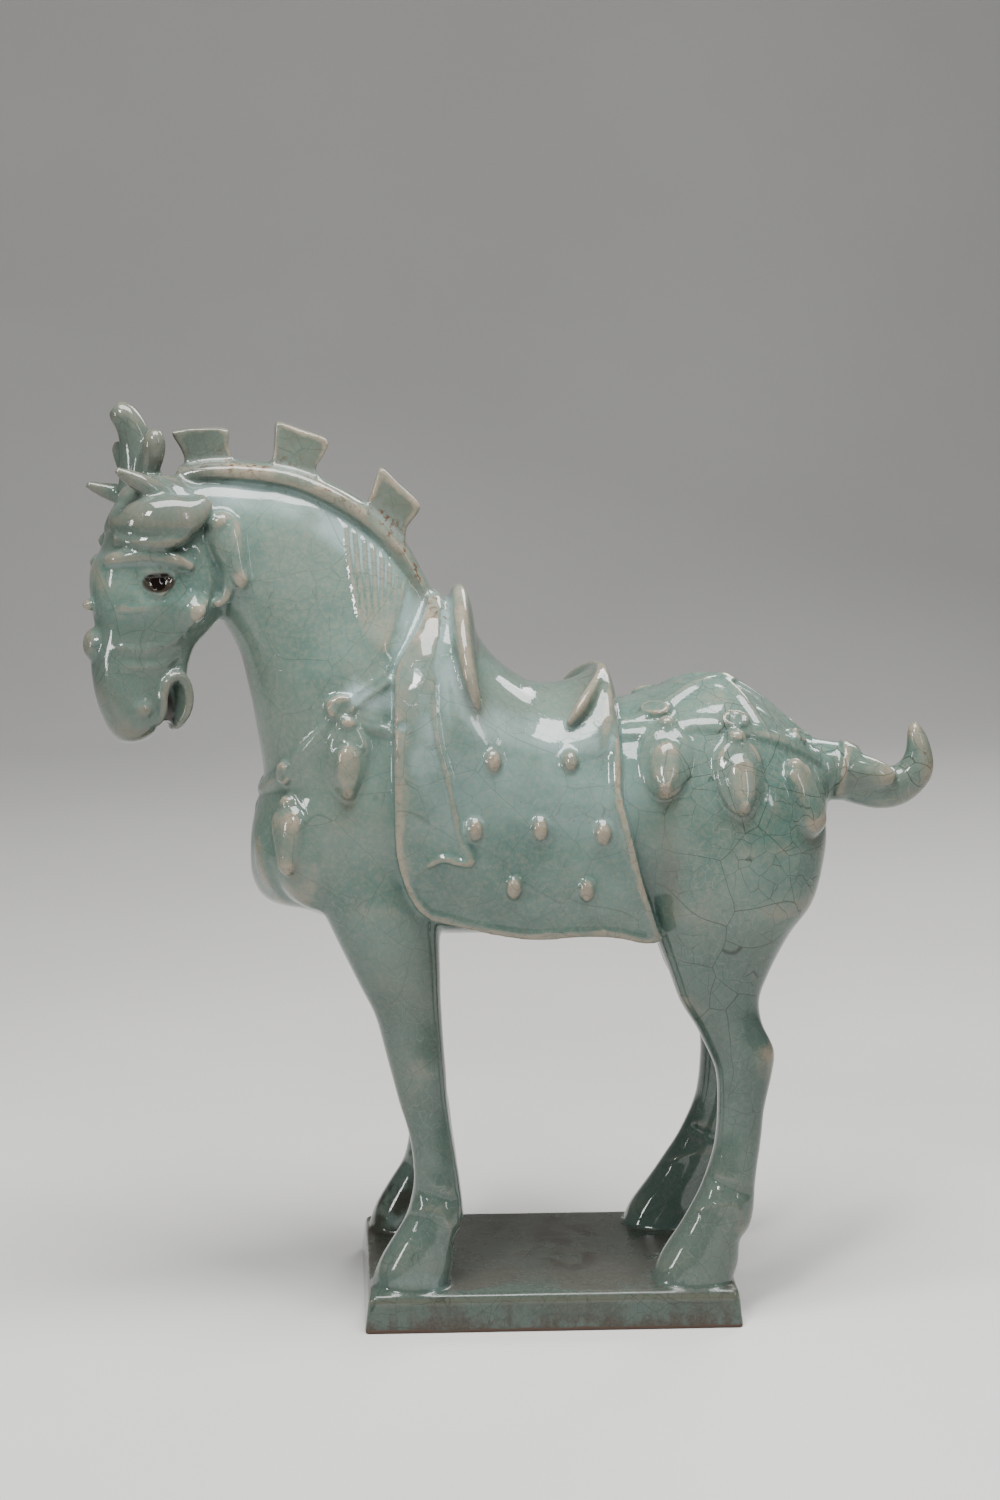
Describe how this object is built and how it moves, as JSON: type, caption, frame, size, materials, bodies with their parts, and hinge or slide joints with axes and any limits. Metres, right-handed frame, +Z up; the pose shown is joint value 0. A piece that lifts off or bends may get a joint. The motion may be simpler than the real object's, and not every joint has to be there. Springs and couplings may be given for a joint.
{
  "type": "celadon-glazed pottery horse figure",
  "caption": "Saddled pottery horse in crackled pale sea-green celadon glaze, standing on its slab base with its head turned to the near side.",
  "frame": {"origin": "centre of the flat underside of the slab base", "axes": "+Z up; the horse faces -X, its tail points to +X; its near side, towards which the head turns, is -Y"},
  "size_m": [0.3339, 0.105, 0.3603],
  "materials": {
    "celadon_glaze": "glossy crackled celadon glaze over pale stoneware, tan where it thins on the edges"
  },
  "bodies": {
    "root": {"celadon_horse": "celadon_glaze"}
  },
  "joints": []
}
